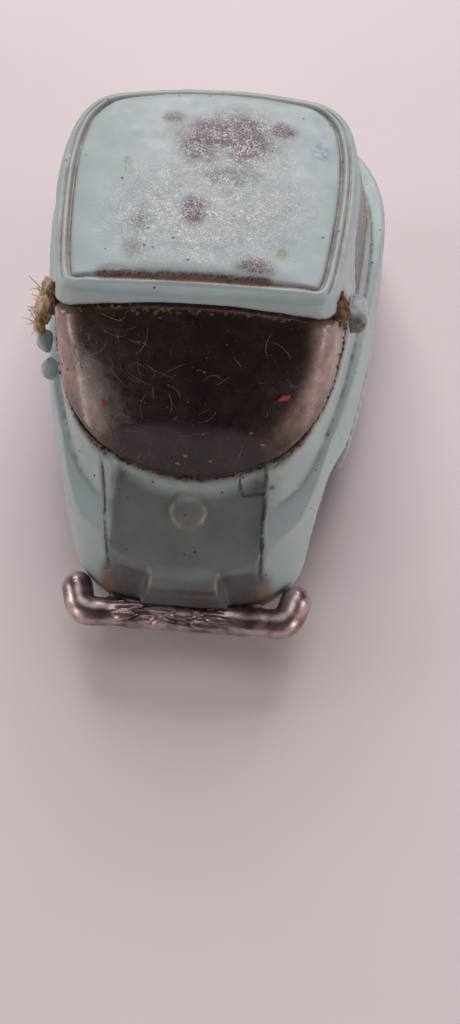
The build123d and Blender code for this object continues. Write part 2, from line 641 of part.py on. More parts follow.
# Mainspring: a flat strip wound from the arbor out to the drum wall.
coil_steps = TURN_STEPS * SPRING_TURNS
inner_edge = []
outer_edge = []
for step in range(coil_steps + 1):
    turn = step / TURN_STEPS
    angle = 2 * math.pi * turn
    radius = SPRING_INNER + SPRING_PITCH * turn
    direction = (math.cos(angle), math.sin(angle))
    inner_edge.append((DRUM_Y + radius * direction[0], DRUM_Z + radius * direction[1]))
    outer_edge.append((DRUM_Y + (radius + SPRING_STRIP) * direction[0],
                       DRUM_Z + (radius + SPRING_STRIP) * direction[1]))
with BuildPart() as mainspring:
    with BuildSketch(Plane.YZ.offset(DRUM_LAYER + GEAR_DEPTH + 0.1)):
        Polygon(*inner_edge, *outer_edge[::-1], align=None)
    extrude(amount=DRUM_DEPTH - GEAR_DEPTH - 0.3)
save(mainspring.part, "mainspring")

# ---- Motor casing halves and the two fixed arbors ------------------------------------------
CASE_PROFILE = [(CASE_FRONT, CASE_LOW), (CASE_REAR, CASE_LOW), (CASE_REAR, 8.0),
                (11.8, CASE_HIGH), (CASE_FRONT, CASE_HIGH)]
for side_name, side in (("left", 1), ("right", -1)):
    with BuildPart() as case:
        with BuildSketch(Plane.YZ):
            Polygon(*CASE_PROFILE, align=None)
            fillet(vertices(), 1.0)
        extrude(amount=side * CASE_HALF)
        with BuildSketch(Plane.YZ):
            Polygon(*CASE_PROFILE, align=None)
            fillet(vertices(), 1.0)
            offset(amount=-CASE_WALL)
        extrude(amount=side * (CASE_HALF - CASE_WALL), mode=Mode.SUBTRACT)
        add(cross_cylinder(REAR_Y, REAR_RADIUS, AXLE_RADIUS + RUN, 8), mode=Mode.SUBTRACT)
        add(cross_cylinder(IDLER_Y, IDLER_Z, ARBOR_RADIUS, 8), mode=Mode.SUBTRACT)
        add(cross_cylinder(DRUM_Y, DRUM_Z, ARBOR_RADIUS, 8), mode=Mode.SUBTRACT)
    save(case.part, f"motor_case_{side_name}")

save(cross_cylinder(IDLER_Y, IDLER_Z, ARBOR_RADIUS, CASE_HALF + 0.2), "idler_arbor")
save(cross_cylinder(DRUM_Y, DRUM_Z, ARBOR_RADIUS, CASE_HALF + 0.2), "drum_arbor")
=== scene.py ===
import math
import random

import bmesh
import bpy
import numpy as np
from mathutils import Euler, Matrix, Vector, kdtree, noise
from mathutils.bvhtree import BVHTree


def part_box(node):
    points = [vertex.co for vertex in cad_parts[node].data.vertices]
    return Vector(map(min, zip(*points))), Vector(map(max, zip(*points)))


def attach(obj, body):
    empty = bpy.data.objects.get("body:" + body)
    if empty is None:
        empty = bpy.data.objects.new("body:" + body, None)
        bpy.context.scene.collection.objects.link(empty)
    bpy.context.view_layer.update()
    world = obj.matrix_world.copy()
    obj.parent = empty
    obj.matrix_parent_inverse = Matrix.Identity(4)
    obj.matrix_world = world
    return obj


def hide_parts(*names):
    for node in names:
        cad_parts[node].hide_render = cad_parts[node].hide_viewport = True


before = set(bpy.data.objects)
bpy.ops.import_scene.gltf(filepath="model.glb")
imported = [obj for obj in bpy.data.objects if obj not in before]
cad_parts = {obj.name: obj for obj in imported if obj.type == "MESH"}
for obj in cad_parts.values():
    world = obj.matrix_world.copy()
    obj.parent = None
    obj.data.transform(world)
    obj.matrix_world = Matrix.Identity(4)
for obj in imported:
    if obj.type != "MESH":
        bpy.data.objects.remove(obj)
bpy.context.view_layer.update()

MM = 0.001

# ---- Sizes, in millimetres -----------------------------------------------------------------
# Windscreen plane: its foot, its rise along the glass and its outward normal.
SCREEN_FOOT = np.array([0.0, -13.4, 11.4])
SCREEN_RISE = np.array([0.0, 0.486, 0.874])
SCREEN_NORMAL = np.array([0.0, -0.874, 0.486])
SCREEN_HALF = 10.6
SCREEN_TOP = 13.4
SCREEN_TOP_CURVE = 0.01  # the top edge drops by this times the square of the distance from the middle

# How far the glazing swells: up to the body's face, in the windscreen's middle and in the side windows.
GLASS_BULGE = 0.5
GLASS_CROWN = 0.8
SIDE_BULGE = 0.35

CABIN_MIDDLE = np.array([0.0, 2.0, 12.0])
BONNET_PANEL_HALF = 5.9
BADGE_Y, BADGE_RADIUS = -15.8, 1.15
FRONT_BORE, REAR_BORE = 2.72, 3.22

BODY_VOXEL = 0.182 * MM
GLASS_VOXEL = 0.18 * MM
BUMPER_VOXEL = 0.11 * MM


# ---- Node helpers ----------------------------------------------------------------------------
class Look:
    """A material under construction, with short calls for its nodes."""

    def __init__(self, name):
        self.material = bpy.data.materials.new(name)
        self.material.use_nodes = True
        self.tree = self.material.node_tree
        self.tree.nodes.clear()
        self.shader = self.add("ShaderNodeBsdfPrincipled")
        output = self.add("ShaderNodeOutputMaterial")
        self.join(self.shader.outputs["BSDF"], output.inputs["Surface"])
        self.coords = self.add("ShaderNodeTexCoord").outputs["Object"]

    def add(self, kind, **settings):
        """New node with plain settings."""
        node = self.tree.nodes.new(kind)
        for key, value in settings.items():
            setattr(node, key, value)
        return node

    def join(self, source, target):
        """Link two sockets."""
        self.tree.links.new(source, target)

    def feed(self, socket, value):
        """Link a socket, or set it when the value is plain. Colours come as three numbers."""
        if isinstance(value, bpy.types.NodeSocket):
            self.join(value, socket)
        elif isinstance(value, tuple):
            socket.default_value = (*value, 1.0)
        else:
            socket.default_value = value

    def plain(self, **values):
        """Plain values set on the shader's own sockets."""
        for name, value in values.items():
            self.feed(self.shader.inputs[name.replace("_", " ")], value)

    def stretched(self, scale):
        """Object coordinates scaled differently along each axis."""
        mapping = self.add("ShaderNodeMapping")
        self.join(self.coords, mapping.inputs["Vector"])
        mapping.inputs["Scale"].default_value = scale
        return mapping.outputs["Vector"]

    def warped(self, size_mm, push_mm):
        """Object coordinates pushed about by noise, so that cells become squiggles."""
        node = self.add("ShaderNodeTexNoise")
        self.join(self.coords, node.inputs["Vector"])
        node.inputs["Scale"].default_value = 1.0 / (size_mm * MM)
        push = self.add("ShaderNodeVectorMath", operation="MULTIPLY_ADD")
        self.join(node.outputs["Color"], push.inputs[0])
        push.inputs[1].default_value = (push_mm * MM,) * 3
        self.join(self.coords, push.inputs[2])
        return push.outputs["Vector"]

    def noise(self, size_mm, detail=3.0, rough=0.55, vector=None):
        """Noise with features of the given size."""
        node = self.add("ShaderNodeTexNoise")
        self.join(vector or self.coords, node.inputs["Vector"])
        node.inputs["Scale"].default_value = 1.0 / (size_mm * MM)
        node.inputs["Detail"].default_value = detail
        node.inputs["Roughness"].default_value = rough
        return node.outputs["Fac"]

    def cells(self, size_mm, feature="F1", vector=None):
        """Voronoi distance with cells of the given size."""
        node = self.add("ShaderNodeTexVoronoi", feature=feature)
        self.join(vector or self.coords, node.inputs["Vector"])
        node.inputs["Scale"].default_value = 1.0 / (size_mm * MM)
        return node.outputs["Distance"]

    def attribute(self, name):
        """A value painted on the mesh."""
        return self.add("ShaderNodeAttribute", attribute_name=name).outputs["Fac"]

    def span(self, value, low, high, to_low=0.0, to_high=1.0):
        """Map a value from one range to another, clamped."""
        node = self.add("ShaderNodeMapRange")
        self.feed(node.inputs["Value"], value)
        node.inputs["From Min"].default_value = low
        node.inputs["From Max"].default_value = high
        node.inputs["To Min"].default_value = to_low
        node.inputs["To Max"].default_value = to_high
        return node.outputs["Result"]

    def math(self, operation, a, b=0.0):
        """Arithmetic on one or two values."""
        node = self.add("ShaderNodeMath", operation=operation)
        self.feed(node.inputs[0], a)
        self.feed(node.inputs[1], b)
        return node.outputs["Value"]

    def mix(self, share, a, b):
        """Colour a to colour b by share."""
        node = self.add("ShaderNodeMix", data_type="RGBA")
        self.feed(node.inputs["Factor"], share)
        self.feed(node.inputs[6], a)
        self.feed(node.inputs[7], b)
        return node.outputs[2]

    def bump(self, height, depth_mm, strength):
        """Bump from a height value."""
        node = self.add("ShaderNodeBump")
        node.inputs["Strength"].default_value = strength
        node.inputs["Distance"].default_value = depth_mm * MM
        self.join(height, node.inputs["Height"])
        return node.outputs["Normal"]


# ---- Mesh helpers ------------------------------------------------------------------------------
def link(mesh, name, material, body="car"):
    """Show a smooth-shaded mesh as a piece of the car."""
    piece = bpy.data.objects.new(name, mesh)
    bpy.context.scene.collection.objects.link(piece)
    mesh.materials.clear()
    mesh.materials.append(material)
    mesh.polygons.foreach_set("use_smooth", [True] * len(mesh.polygons))
    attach(piece, body)
    return piece


def remeshed(node, voxel, rounds):
    """Copy of a CAD node's mesh, voxel remeshed and smoothed so that its edges are moulded round."""
    source = bpy.data.objects.new(f"{node}_source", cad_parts[node].data.copy())
    bpy.context.scene.collection.objects.link(source)
    remesh = source.modifiers.new("remesh", "REMESH")
    remesh.mode = "VOXEL"
    remesh.voxel_size = voxel
    smooth = source.modifiers.new("smooth", "SMOOTH")
    smooth.iterations = rounds
    smooth.factor = 0.5
    depsgraph = bpy.context.evaluated_depsgraph_get()
    mesh = bpy.data.meshes.new_from_object(source.evaluated_get(depsgraph))
    bpy.data.objects.remove(source)
    return mesh


def points_of(mesh):
    """Vertex positions in millimetres."""
    points = np.zeros(len(mesh.vertices) * 3)
    mesh.vertices.foreach_get("co", points)
    return points.reshape(-1, 3) / MM


def vertex_normals(mesh, points):
    """Vertex normals for the mesh at the given points."""
    move_points(mesh, points)
    normals = np.zeros(len(mesh.vertices) * 3)
    mesh.vertex_normals.foreach_get("vector", normals)
    return normals.reshape(-1, 3)


def refine(mesh, share):
    """Split the edges whose two ends both have a share over a half, with the faces beside them."""
    shape = bmesh.new()
    shape.from_mesh(mesh)
    chosen = share > 0.5
    edges = [edge for edge in shape.edges if all(chosen[corner.index] for corner in edge.verts)]
    bmesh.ops.subdivide_edges(shape, edges=edges, cuts=1, use_grid_fill=True)
    shape.to_mesh(mesh)
    shape.free()
    return points_of(mesh)


def neighbours_mean(mesh):
    """A function that gives the mean of each vertex's neighbours."""
    edges = np.zeros(len(mesh.edges) * 2, dtype=np.int64)
    mesh.edges.foreach_get("vertices", edges)
    first, second = edges.reshape(-1, 2).T
    size = len(mesh.vertices)
    count = np.maximum(np.bincount(np.concatenate([first, second]), minlength=size), 1)

    def mean(points):
        total = [np.bincount(first, points[second, axis], size)
                 + np.bincount(second, points[first, axis], size) for axis in range(3)]
        return np.stack(total, axis=1) / count[:, None]
    return mean


def soften(mesh, points, share, rounds):
    """Smooth the points in place, each by its own share."""
    mean = neighbours_mean(mesh)
    for _ in range(rounds):
        points += 0.5 * share[:, None] * (mean(points) - points)


def move_points(mesh, points):
    """Write vertex positions given in millimetres."""
    mesh.vertices.foreach_set("co", (points * MM).ravel())
    mesh.update()


def paint(mesh, name, values):
    """Store one value per vertex for a material to read."""
    layer = mesh.attributes.new(name, "FLOAT", "POINT")
    layer.data.foreach_set("value", np.clip(values, 0, 1).astype(np.float32))


def cavity_of(mesh, points, normals, rounds):
    """How far each vertex lies below (+) or above (-) its smoothed surroundings, in millimetres."""
    mean = neighbours_mean(mesh)
    smooth = points.copy()
    for _ in range(rounds):
        smooth = mean(smooth)
    return np.einsum("ij,ij->i", smooth - points, normals)


def hump(distance, width):
    """1 at distance 0, falling smoothly past the width towards 0."""
    return np.exp(-(distance / width) ** 2)


def step(value, low, high):
    """Smooth step from 0 at low to 1 at high."""
    share = np.clip((value - low) / (high - low), 0, 1)
    return share * share * (3 - 2 * share)


# ---- Materials ---------------------------------------------------------------------------------
def body_plastic():
    """Pale turquoise moulding: mottled, grimy in its hollows, worn tan on its edges, frosted on its roof,
    with painted shade darkening its bonnet and nose.
    """
    look = Look("body_plastic")
    base = look.mix(look.span(look.noise(3.0), 0.3, 0.7), (0.355, 0.445, 0.46), (0.40, 0.495, 0.505))
    warped = look.warped(0.30, 0.42)
    net = look.cells(0.24, "DISTANCE_TO_EDGE", warped)
    strands = look.span(net, 0.03, 0.16, 1.0, 0.0)
    patchy = look.span(look.noise(0.8, 6.0, 0.7), 0.37, 0.60)
    frost = look.math("MULTIPLY", look.attribute("frost"), look.math("MULTIPLY", strands, patchy))
    rubbed = look.math("MULTIPLY", look.attribute("edge"), look.span(look.noise(0.9), 0.42, 0.66))
    worn = look.mix(rubbed, base, (0.54, 0.50, 0.42))
    ragged = look.span(look.noise(1.3, 5.0, 0.7), 0.3, 0.7, -0.42, 0.30)
    stain_field = look.math("MULTIPLY", look.attribute("stain"), look.math("ADD", 0.8, ragged))
    stain = look.math("MULTIPLY", look.span(stain_field, 0.05, 0.45), look.span(strands, 0.0, 1.0, 1.0, 0.55))
    stained = look.mix(stain, worn, (0.085, 0.030, 0.040))
    stained = look.mix(look.math("MULTIPLY", frost, 0.9), stained, (0.90, 0.90, 0.92))
    ink = look.math("MULTIPLY", look.attribute("ink"), look.span(look.noise(0.5, 3.0), 0.42, 0.56))
    stained = look.mix(ink, stained, (0.10, 0.18, 0.36))
    moss = look.math("MULTIPLY", look.attribute("moss"), look.span(look.noise(0.4, 3.0), 0.42, 0.58))
    stained = look.mix(moss, stained, (0.30, 0.32, 0.14))
    # Painted shade: the bonnet's centre panel and the nose front are mixed towards near black.
    painted_light = look.math("MULTIPLY", look.attribute("painted_light"), look.span(look.noise(2.2, 4.0), 0.3, 0.7, 0.85, 1.0))
    stained = look.mix(painted_light, stained, (0.060, 0.058, 0.054))
    glue = look.math("MULTIPLY", look.attribute("glue"), look.span(look.noise(0.8, 4.0), 0.3, 0.52))
    glued = look.mix(glue, stained, (0.32, 0.195, 0.09))
    # Brown dirt in hollows, grooves and vents, plus painted shade on the nose front.
    dark = look.span(look.noise(0.6, 4.0), 0.3, 0.6, 0.35, 1.0)
    grime_and_shade = look.math("MULTIPLY", look.attribute("grime_and_shade"), dark)
    grimy_and_shaded = look.mix(grime_and_shade, glued, (0.065, 0.038, 0.022))
    speck = look.span(look.cells(1.2), 0.06, 0.09, 1.0, 0.0)
    scattered = look.math("MULTIPLY", speck, look.span(look.noise(4.0), 0.42, 0.52))
    speckled = look.mix(scattered, grimy_and_shaded, (0.05, 0.035, 0.03))
    look.feed(look.shader.inputs["Base Color"], speckled)
    look.feed(look.shader.inputs["Roughness"], look.span(look.noise(1.2), 0.3, 0.7, 0.36, 0.54))
    grain = look.math("MULTIPLY", look.attribute("frost"), strands)
    fine = look.math("MULTIPLY", look.noise(0.8, 4.0, 0.6), 0.25)
    look.feed(look.shader.inputs["Normal"], look.bump(look.math("ADD", grain, fine), 0.035, 0.8))
    look.plain(Specular_IOR_Level=0.5)
    return look.material


def smoked_plastic():
    """Smoky brown clear plastic with dust, lint and scratches, and a pale pink painted highlight, partly dust
    haze, along each side of the windscreen.
    """
    look = Look("smoked_plastic")
    dust = look.span(look.cells(0.42), 0.04, 0.09, 1.0, 0.0)
    dusty = look.math("MULTIPLY", dust, look.span(look.noise(2.5), 0.42, 0.56))
    haze = look.span(look.noise(1.8, 5.0, 0.65), 0.45, 0.75, 0.0, 0.35)
    crusty = look.span(look.noise(0.5, 4.0), 0.3, 0.6, 0.4, 1.0)
    dirt = look.math("MULTIPLY", look.attribute("dirt"), crusty)
    scratch = look.span(look.noise(0.35, 2.0, vector=look.stretched((1.0, 0.12, 0.12))), 0.68, 0.72)
    scratched = look.math("MULTIPLY", scratch, look.attribute("lint"))
    body = look.mix(haze, (0.016, 0.009, 0.008), (0.075, 0.048, 0.043))
    pale = look.math("MAXIMUM", dusty, look.math("MULTIPLY", scratched, 0.5))
    body = look.mix(pale, body, (0.26, 0.20, 0.17))
    # Painted highlight, partly dust haze: a pale pink band along each side of the windscreen, in place of
    # reflected side light.
    band_variation = look.span(look.noise(0.9, 5.0, 0.65), 0.3, 0.62, 0.55, 1.0)
    painted_light = look.math("MULTIPLY", look.attribute("painted_light"), band_variation)
    body = look.mix(painted_light, body, (0.46, 0.32, 0.28))
    body = look.mix(dirt, body, (0.085, 0.048, 0.026))
    glue = look.math("MULTIPLY", look.attribute("glue"), look.span(look.noise(0.8, 4.0), 0.3, 0.5))
    body = look.mix(glue, body, (0.20, 0.125, 0.075))
    look.feed(look.shader.inputs["Base Color"], body)
    look.feed(look.shader.inputs["Roughness"], look.span(look.noise(0.7, 4.0), 0.3, 0.7, 0.22, 0.38))
    covered = look.math("MAXIMUM", dusty, look.math("MAXIMUM", glue, dirt))
    solid = look.math("MAXIMUM", covered, look.span(haze, 0.0, 0.35, 0.90, 0.97))
    look.feed(look.shader.inputs["Alpha"], solid)
    pits = look.math("MULTIPLY", look.span(look.cells(0.7), 0.08, 0.18), 0.5)
    uneven = look.math("ADD", pits, look.noise(0.45, 4.0))
    look.feed(look.shader.inputs["Normal"], look.bump(uneven, 0.02, 0.5))
    look.plain(IOR=1.5, Coat_Weight=0.35, Coat_Roughness=0.2)
    return look.material


def worn_chrome():
    """Plated plastic gone dark, with pits and brighter rubbed places."""
    look = Look("worn_chrome")
    tarnish = look.span(look.noise(1.4, 4.0), 0.35, 0.65)
    base = look.mix(tarnish, (0.62, 0.50, 0.495), (0.19, 0.13, 0.135))
    pits = look.span(look.cells(0.6), 0.05, 0.09, 1.0, 0.0)
    pitted = look.mix(pits, base, (0.03, 0.02, 0.02))
    look.feed(look.shader.inputs["Base Color"], pitted)
    look.feed(look.shader.inputs["Roughness"], look.span(look.noise(0.8, 4.0), 0.3, 0.7, 0.30, 0.46))
    look.feed(look.shader.inputs["Normal"], look.bump(look.noise(0.7, 4.0), 0.04, 0.5))
    look.plain(Metallic=1.0)
    return look.material


def moulded(name, colour, other, rough, grain_mm=0.4, metallic=0.0):
    """Plain moulded or drawn material with colour variation and a fine grain."""
    look = Look(name)
    patches = look.span(look.noise(1.5, 4.0), 0.35, 0.65)
    look.feed(look.shader.inputs["Base Color"], look.mix(patches, colour, other))
    worn = look.span(look.noise(0.9), 0.3, 0.7, rough - 0.08, rough + 0.1)
    look.feed(look.shader.inputs["Roughness"], worn)
    look.feed(look.shader.inputs["Normal"], look.bump(look.noise(grain_mm, 3.0), 0.03, 0.6))
    look.plain(Metallic=metallic)
    return look.material


plastic = body_plastic()
smoke = smoked_plastic()
chrome = worn_chrome()
interior = moulded("interior_plastic", (0.035, 0.028, 0.027), (0.06, 0.045, 0.04), 0.55)
chassis_black = moulded("chassis_plastic", (0.02, 0.02, 0.022), (0.05, 0.048, 0.046), 0.5)
motor_black = moulded("motor_plastic", (0.05, 0.05, 0.055), (0.09, 0.088, 0.085), 0.45)
rubber = moulded("tyre_rubber", (0.018, 0.018, 0.018), (0.05, 0.046, 0.042), 0.7)
hub_finish = moulded("hub_plating", (0.42, 0.40, 0.39), (0.26, 0.22, 0.21), 0.3, metallic=1.0)
steel = moulded("axle_steel", (0.55, 0.54, 0.52), (0.38, 0.35, 0.32), 0.32, metallic=1.0)
acetal = moulded("gear_plastic", (0.78, 0.77, 0.70), (0.66, 0.63, 0.54), 0.45)
spring_blue = moulded("spring_steel", (0.22, 0.22, 0.26), (0.12, 0.11, 0.12), 0.35, metallic=1.0)

# ---- CAD nodes that stay, with better materials ------------------------------------------------
KEPT = {
    "interior_tub": interior, "steering_wheel": interior,
    "chassis": chassis_black, "chassis_screws": steel, "idler_arbor": steel, "drum_arbor": steel,
    "motor_case_left": motor_black, "motor_case_right": motor_black,
    "front_axle": steel, "rear_axle": steel, "drive_pinion": acetal, "idler_gear": acetal,
    "spring_drum": acetal, "mainspring": spring_blue, "mirror_left": plastic, "mirror_right": plastic,
}
for side in ("left", "right"):
    for end in ("front", "rear"):
        KEPT[f"{end}_hub_{side}"] = hub_finish
for node, material in KEPT.items():
    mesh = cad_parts[node].data
    mesh.materials.clear()
    mesh.materials.append(material)


# ---- Body skin ---------------------------------------------------------------------------------
def mirrored(half):
    """Closed outline from its right half, which runs from the front centre to the rear centre."""
    return np.array(half + [(-x, y) for x, y in half[-2:0:-1]])


def rounded(outline, per_side=48):
    """Smooth closed curve through an outline's points."""
    before, after, beyond = (np.roll(outline, shift, axis=0) for shift in (1, -1, -2))
    curve = []
    for share in np.linspace(0, 1, per_side, endpoint=False):
        curve.append(0.5 * (2 * outline + share * (after - before)
                            + share ** 2 * (2 * before - 5 * outline + 4 * after - beyond)
                            + share ** 3 * (3 * outline - before - 3 * after + beyond)))
    return np.stack(curve, axis=1).reshape(-1, 2)


def outline_distance(points, curve):
    """Signed distance from a closed curve in plan: positive outside it."""
    tree = kdtree.KDTree(len(curve))
    for index, (x, y) in enumerate(curve):
        tree.insert((x, y, 0), index)
    tree.balance()
    following = np.roll(curve, -1, axis=0)
    tangent = following - np.roll(curve, 1, axis=0)
    normal = np.stack([tangent[:, 1], -tangent[:, 0]], axis=1)
    normal /= np.linalg.norm(normal, axis=1)[:, None]
    found = np.array([tree.find((x, y, 0))[1] for x, y in points])
    offset = points - curve[found]
    across = np.einsum("ij,ij->i", offset, normal[found])
    near = np.abs(across) > 0.5 * np.linalg.norm(offset, axis=1)
    return np.where(near, across, np.sign(across) * np.linalg.norm(offset, axis=1))


def screen_side_distance(points):
    """Distance in from the sides and the round foot of the windscreen opening, seen square to it."""
    rise = (points - SCREEN_FOOT) @ SCREEN_RISE
    return SCREEN_HALF - np.hypot(points[:, 0], np.minimum(rise - SCREEN_HALF, 0.0))


def screen_edge_distance(points):
    """Distance inside (+) or outside (-) the D-shaped windscreen opening, seen square to it."""
    rise = (points - SCREEN_FOOT) @ SCREEN_RISE
    top_edge = SCREEN_TOP - SCREEN_TOP_CURVE * points[:, 0] ** 2 - rise
    return np.minimum(screen_side_distance(points), top_edge)


def screen_corners(points):
    """Where the windscreen opening cuts the cabin's sides at a slant, so that its edge needs smoothing."""
    near = hump(screen_edge_distance(points), 0.7)
    return near * step(np.abs(points[:, 0]), 8.8, 9.6) * step(-points[:, 1], 0.5, 1.5)


def lumpy(points, size, seed):
    """Smooth noise of the given size for every point, between about -0.5 and 0.5."""
    shift = Vector((seed * 17.3, seed * 5.1, seed * 9.7))
    return np.array([noise.noise(Vector(point) / size + shift) for point in points])


def spot(x, y, middle, size, soft=0.6):
    """1 inside an ellipse, falling to 0 beyond it."""
    reach = np.hypot((x - middle[0]) / size[0], (y - middle[1]) / size[1])
    return 1 - step(reach, 1 - soft, 1.2)


# Depths of the body's relief. Grooves, cracks and vents go in, and rails, headers and beads stand out.
ROOF_GROOVE_DEPTH = 0.22
ROOF_RAIL_HEIGHT = 0.10
HEADER_HEIGHT = 0.14
BONNET_GROOVE_DEPTH = 0.16
SCREEN_BEAD_HEIGHT = 0.15
CHIP_DEPTH = 0.12
CRACK_DEPTH = 0.2
VENT_DEPTH = 0.2
SINK_DEPTH = 0.05

# Right half of the groove round the roof panel, from the front centre to the rear centre.
ROOF_PANEL = mirrored([(0, -5.35), (6.5, -5.45), (8.1, -5.5), (8.5, -5.0), (8.8, -3.6), (9.15, -0.8),
                       (9.45, 2.5), (9.55, 5.5), (9.35, 8.0), (8.75, 10.0), (7.2, 11.35), (4.0, 12.0),
                       (0, 12.25)])
# Roof stains: middle (x, y), half sizes and strength.
ROOF_STAINS = (((2.7, 7.2), (2.0, 3.2), 1.0), ((1.0, 7.6), (5.0, 2.9), 0.62),
               ((-0.6, 6.8), (2.2, 2.8), 0.72), ((-2.8, 9.1), (1.2, 0.9), 0.7),
               ((5.0, 8.4), (1.7, 1.1), 0.72), ((-0.6, 0.3), (1.15, 1.7), 0.85),
               ((-4.2, -0.8), (1.1, 1.8), 0.42), ((-4.4, -3.3), (1.1, 1.2), 0.42),
               ((4.0, -4.4), (1.8, 1.1), 0.72), ((-5.4, -5.0), (1.6, 0.6), 0.6),
               ((1.6, 3.6), (3.0, 1.2), 0.45))
# Side vents: y of the rearmost and foremost, their number, height and slant.
VENT_REACH = (-0.4, -8.4)
VENT_COUNT = 8
VENT_HEIGHT = 7.4
VENT_TILT = math.radians(25)
# Glue on the corners of the windscreen: middle and radius.
SCREEN_GLUE = (((9.9, -4.6, 20.6), 1.9), ((10.4, -3.2, 18.2), 1.2), ((-9.9, -4.8, 21.0), 1.1))
# Bonnet grooves: x at the nose, and how far each spreads per millimetre towards the glass.
BONNET_GROOVES = ((-5.9, 0.11), (5.6, 0.0))


def detail_zones(points, normals, roof_curve):
    """Where the skin needs finer faces: the roof's grooves, the windscreen's lip and the bonnet's grooves."""
    x, y, z = points.T
    zones = np.zeros(len(points))
    outside = np.einsum("ij,ij->i", normals, points - CABIN_MIDDLE) > 0.5
    roof = (z > 22.8) & (normals[:, 2] > 0.2)
    panel = outline_distance(points[roof][:, :2], roof_curve)
    zones[roof] = (panel > -0.5) & (panel < 1.0)
    edge = screen_edge_distance(points)
    zones[outside & (y < -1.0) & (edge > -0.9) & (edge < 0.3) & (z < 22.8)] = 1
    zones[outside & (y < -12.6) & (z > 8.0) & (np.abs(np.abs(x) - BONNET_PANEL_HALF) < 0.6)] = 1
    return zones


